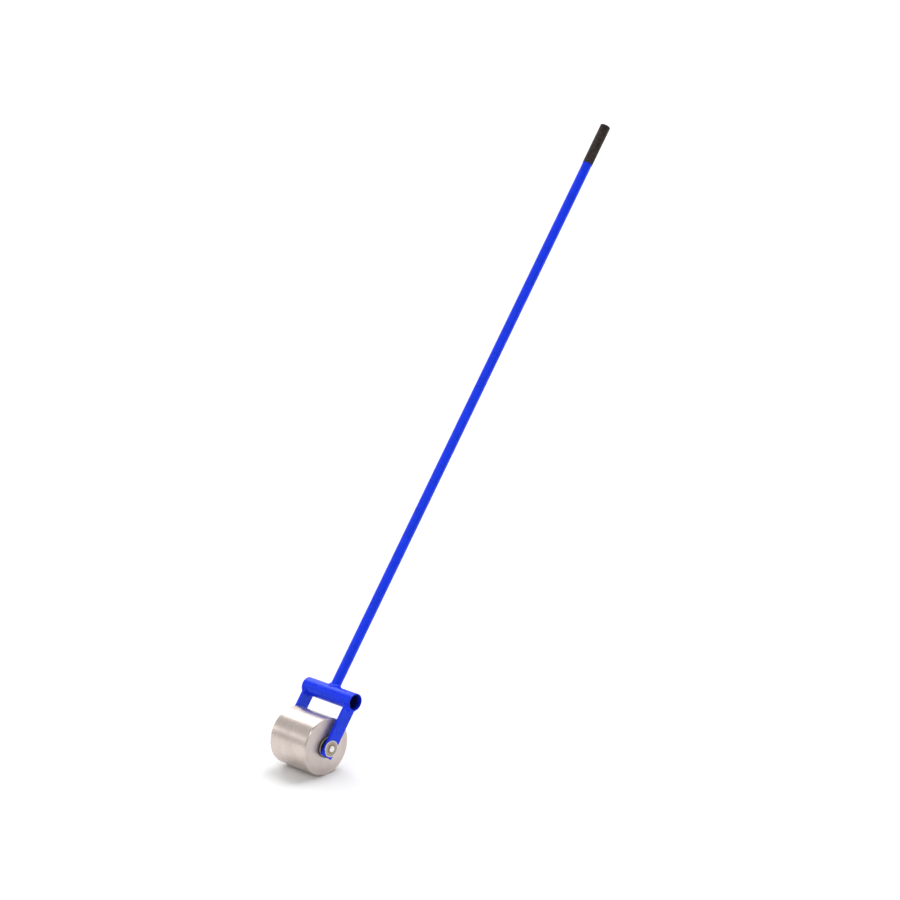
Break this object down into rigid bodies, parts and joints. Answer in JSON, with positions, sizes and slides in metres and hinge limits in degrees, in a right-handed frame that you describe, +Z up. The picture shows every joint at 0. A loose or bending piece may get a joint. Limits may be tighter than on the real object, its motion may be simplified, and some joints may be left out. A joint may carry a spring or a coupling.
{
  "type": "stand-up seam roller",
  "caption": "Heavy steel drum on ball bearings in a welded tube-and-bar fork with a long straight tube handle and a thin vinyl grip, rolled over roofing seams while standing.",
  "frame": {"origin": "on the floor, under the middle of the drum, where the drum's lowest line touches it", "axes": "+X along the axle towards the right arm, +Z up, and the handle leans 38 degrees from +Z towards +Y"},
  "size_m": [0.148, 1.0341, 1.3014],
  "materials": {
    "blue_paint": "semi-gloss ultramarine blue enamel on mild steel",
    "drum_steel": "fine turned, bare and lightly oiled",
    "axle_steel": "bright cold-drawn bar with upset ends",
    "zinc_plate": "zinc plate, dull",
    "bearing_steel": "ground",
    "cage_steel": "pressed sheet",
    "seal_rubber": "black nitrile, matt",
    "grip_vinyl": "dipped black vinyl, satin"
  },
  "bodies": {
    "frame": {"cross_tube": "blue_paint", "left_arm": "blue_paint", "right_arm": "blue_paint", "handle_tube": "blue_paint", "grip": "grip_vinyl", "handle_weld": "blue_paint", "left_arm_weld": "blue_paint", "right_arm_weld": "blue_paint", "axle_pin": "axle_steel", "left_washer": "zinc_plate", "right_washer": "zinc_plate", "left_spacer": "zinc_plate", "right_spacer": "zinc_plate", "centre_sleeve": "zinc_plate", "left_inner_race": "bearing_steel", "right_inner_race": "bearing_steel"},
    "drum": {"drum": "drum_steel", "left_outer_race": "bearing_steel", "right_outer_race": "bearing_steel", "left_outer_seal": "seal_rubber", "left_inner_seal": "seal_rubber", "right_outer_seal": "seal_rubber", "right_inner_seal": "seal_rubber"},
    "left_ball_train": {"left_balls": "bearing_steel", "left_cage": "cage_steel"},
    "right_ball_train": {"right_balls": "bearing_steel", "right_cage": "cage_steel"}
  },
  "joints": [
    {"name": "drum_spin", "type": "hinge", "parent": "frame", "child": "drum", "pos_m": [0, 0, 0.0635], "axis": [1, 0, 0], "continuous": true},
    {"name": "left_ball_orbit", "type": "hinge", "parent": "frame", "child": "left_ball_train", "pos_m": [0, 0, 0.0635], "axis": [1, 0, 0], "continuous": true},
    {"name": "right_ball_orbit", "type": "hinge", "parent": "frame", "child": "right_ball_train", "pos_m": [0, 0, 0.0635], "axis": [1, 0, 0], "continuous": true}
  ],
  "couplings": [
    {"joint": "left_ball_orbit", "follows": "drum_spin", "ratio": 0.61847},
    {"joint": "right_ball_orbit", "follows": "drum_spin", "ratio": 0.61847}
  ]
}
